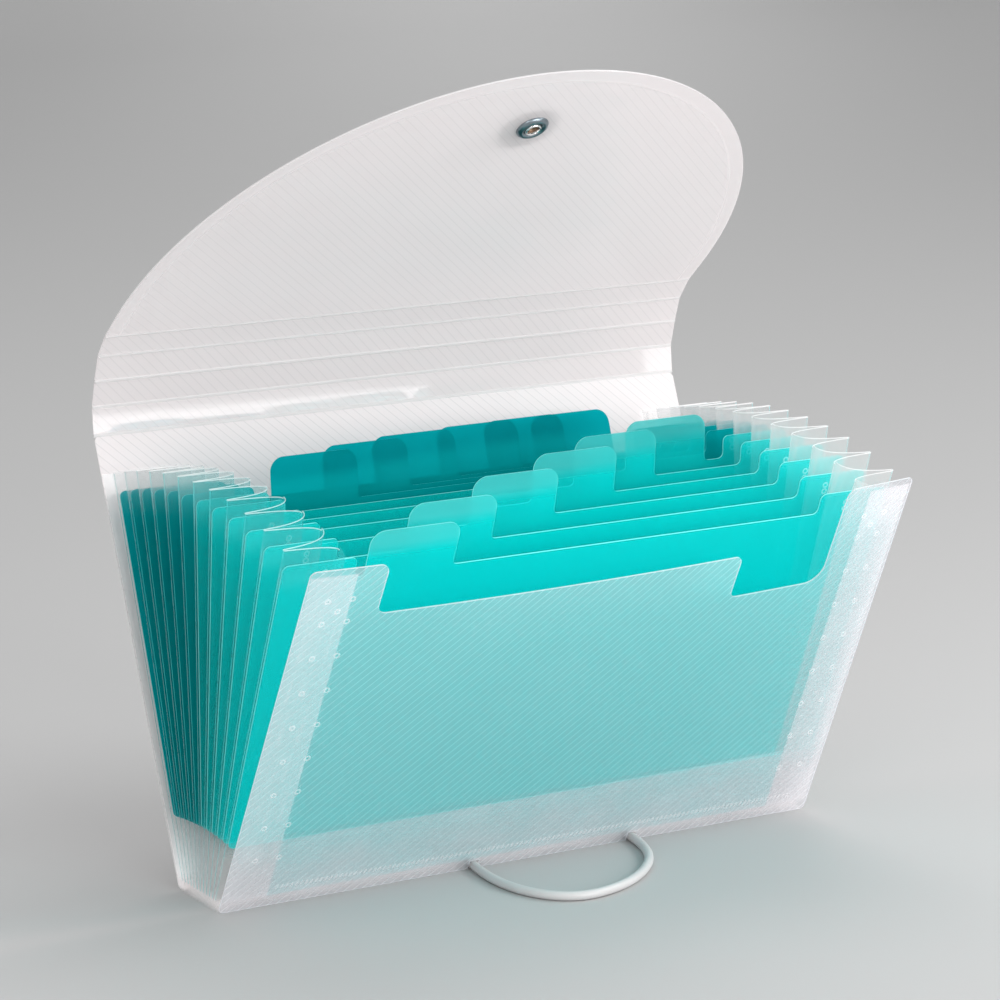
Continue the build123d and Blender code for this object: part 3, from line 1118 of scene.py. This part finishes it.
def sweepFinish():
    # painted shade and light on the paper: a little darker just behind the object, and paler far off, less so
    # towards the sides
    finish = Finish("paleSweep")
    spot = {0: finish.place()}
    x, y = (finish.add("ShaderNodeSeparateXYZ", sockets=spot, out=axis) for axis in "XY")
    around = math.radians(view["azimuth"])
    away = y * math.cos(around) - x * math.sin(around)
    aside = abs(x * math.cos(around) + y * math.sin(around))
    paintedShade = finish.smooth(away, *stage["paintedShadeSpan"])
    sides = 1 - stage["sideLoss"] * finish.smooth(aside, *stage["paintedLightSides"])
    # painted light: paler far off, less so towards the sides
    pale = finish.smooth(away, *stage["paintedLightSpan"]) * sides
    tone = finish.tint(paintedShade, stage["floorGrey"], stage["paintedShadeGrey"])
    skin = {"Base Color": finish.tint(pale, tone, stage["paintedLightGrey"]), "Roughness": stage["roughness"]}
    return finish.close(finish.add("ShaderNodeBsdfPrincipled", sockets=skin))


def addStage():
    bm = bmesh.new()
    line = [(stage["near"], 0.0), (stage["bend"], 0.0)]
    bend, radius, steps = stage["bend"], stage["radius"], stage["bendSteps"]
    for step in range(1, steps + 1):
        turn = math.pi / 2 * step / steps
        line.append((bend + radius * math.sin(turn), radius * (1 - math.cos(turn))))
    line.append((bend + radius, stage["top"]))
    rows = [[(side * stage["half"], y, z) for side in (-1, 1)] for y, z in line]
    gridMesh(bm, rows)
    mesh = bpy.data.meshes.new("sweep")
    bm.to_mesh(mesh)
    bm.free()
    mesh.shade_smooth()
    sweep = bpy.data.objects.new("sweep", mesh)
    bpy.context.scene.collection.objects.link(sweep)
    dress(sweep, sweepFinish())


lamps = {
    "front": {"place": (0.5, -2.3, 0.7), "size": (1.8, 1.0), "power": 30},
    "key": {"place": (1.7, -0.7, 1.5), "size": (1.0, 1.0), "power": 18},
    "fill": {"place": (-1.5, -1.5, 0.8), "size": (0.9, 0.9), "power": 6},
    "top": {"place": (0.5, 0.8, 1.9), "size": (1.4, 0.9), "power": 14},
    "strip": {"place": (0.873, -1.883, 0.082), "size": (0.44, 0.095), "power": 2.1},
    "shortStrip": {"place": (1.323, -1.667, 0.105), "size": (0.1, 0.14), "power": 0.5},
}
lampTarget = Vector((0, 0, 0.15))
worldGrey = (0.67, 0.67, 0.67, 1)


def addLamps():
    for name, lamp in lamps.items():
        light = bpy.data.lights.new(name, "AREA")
        light.shape = "RECTANGLE"
        light.size, light.size_y = lamp["size"]
        light.energy = lamp["power"]
        holder = bpy.data.objects.new(name, light)
        holder.location = lamp["place"]
        aim = lampTarget - Vector(lamp["place"])
        holder.rotation_euler = aim.to_track_quat("-Z", "Y").to_euler()
        holder.visible_camera = False
        bpy.context.scene.collection.objects.link(holder)
    world = bpy.data.worlds.new("studio")
    world.use_nodes = True
    background = world.node_tree.nodes["Background"]
    background.inputs["Color"].default_value = worldGrey
    background.inputs["Strength"].default_value = 1.0
    bpy.context.scene.world = world


def addCamera():
    around, above = math.radians(view["azimuth"]), math.radians(view["elevation"])
    level = math.cos(above)
    back = Vector((math.sin(around) * level, -math.cos(around) * level, math.sin(above)))
    right = (-back).cross(Vector((0, 0, 1))).normalized()
    up = right.cross(-back)
    lens = bpy.data.cameras.new("photo_angle")
    lens.lens = view["lens"]
    lens.sensor_width = view["sensor"]
    camera = bpy.data.objects.new("photo_angle", lens)
    camera.matrix_world = Matrix((right, up, back)).transposed().to_4x4()
    camera.location = back * view["distance"] + right * view["sideways"] + up * view["upwards"]
    bpy.context.scene.collection.objects.link(camera)
    bpy.context.scene.camera = camera


addStage()
addLamps()
addCamera()
scene = bpy.context.scene
scene.view_settings.view_transform = "Standard"
scene.cycles.transparent_max_bounces = 24
scene.cycles.max_bounces = 5
scene.cycles.diffuse_bounces = 3
scene.cycles.glossy_bounces = 2
print("stage, lamps and camera set")
